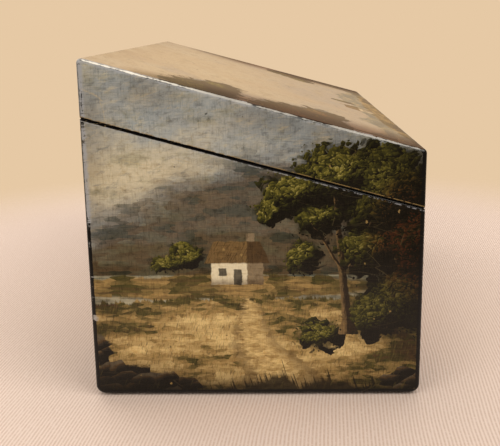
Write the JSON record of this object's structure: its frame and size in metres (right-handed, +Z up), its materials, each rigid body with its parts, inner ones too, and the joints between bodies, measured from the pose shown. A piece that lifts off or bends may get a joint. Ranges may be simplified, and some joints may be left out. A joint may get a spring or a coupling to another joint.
{
  "type": "tea caddy",
  "caption": "Slope-topped painted wooden tea caddy: hinged lid on stopped brass butt hinges, foil-lined tea compartments with loose lids, glass mixing bowl, and a box lock.",
  "frame": {"origin": "middle of the bounding box, at the underside of the baize that the caddy stands on", "axes": "+X along the caddy's length to its right-hand end, +Y to the back with the hinges, +Z up"},
  "size_m": [0.304, 0.1556, 0.1549],
  "materials": {
    "painted_wood": "painted and varnished",
    "lined_wood": "polished",
    "turned_wood": "polished boxwood",
    "velvet": "velvet",
    "baize": "felted",
    "foil": "dull",
    "brass": "aged",
    "lock_steel": "filed",
    "glass": "clear"
  },
  "bodies": {
    "case": {"base_baize": "baize", "base_board": "painted_wood", "bowl_board": "lined_wood", "bowl_pad": "baize", "case_back_wall": "painted_wood", "case_front_wall": "painted_wood", "case_left_wall": "painted_wood", "case_right_wall": "painted_wood", "divider_left": "lined_wood", "divider_right": "lined_wood", "escutcheon": "brass", "foil_left": "foil", "foil_right": "foil", "hinge_left_case_leaf": "brass", "hinge_left_pin": "brass", "hinge_right_case_leaf": "brass", "hinge_right_pin": "brass", "hinge_screws_case": "brass", "liner_back": "lined_wood", "liner_front": "lined_wood", "liner_left": "lined_wood", "liner_right": "lined_wood", "lock_cap": "brass", "lock_case": "brass", "lock_pin": "lock_steel", "lock_screws": "brass"},
    "lid": {"hinge_left_lid_leaf": "brass", "hinge_right_lid_leaf": "brass", "hinge_screws_lid": "brass", "lid_back_rail": "painted_wood", "lid_front_rail": "painted_wood", "lid_left_rail": "painted_wood", "lid_lining": "velvet", "lid_panel": "painted_wood", "lid_right_rail": "painted_wood", "lock_strike": "brass", "strike_screws": "brass"},
    "bolt": {"lock_bolt": "lock_steel"},
    "inner_lid_left": {"inner_lid_left": "lined_wood", "inner_knob_left": "turned_wood"},
    "inner_lid_right": {"inner_lid_right": "lined_wood", "inner_knob_right": "turned_wood"},
    "bowl": {"mixing_bowl": "glass"}
  },
  "joints": [
    {"name": "lid_hinge", "type": "hinge", "parent": "case", "child": "lid", "pos_m": [0, 0.07477, 0.13012], "axis": [-1, 0, 0], "range_deg": [0, 110]},
    {"name": "bolt_slide", "type": "slide", "parent": "case", "child": "bolt", "axis": [1, 0, 0], "range_m": [0, 0.004]},
    {"name": "inner_lid_left_lift", "type": "slide", "parent": "case", "child": "inner_lid_left", "axis": [0, 0, 1], "range_m": [0, 0.018]},
    {"name": "inner_lid_right_lift", "type": "slide", "parent": "case", "child": "inner_lid_right", "axis": [0, 0, 1], "range_m": [0, 0.018]},
    {"name": "bowl_lift", "type": "slide", "parent": "case", "child": "bowl", "axis": [0, 0, 1], "range_m": [0, 0.018]}
  ]
}
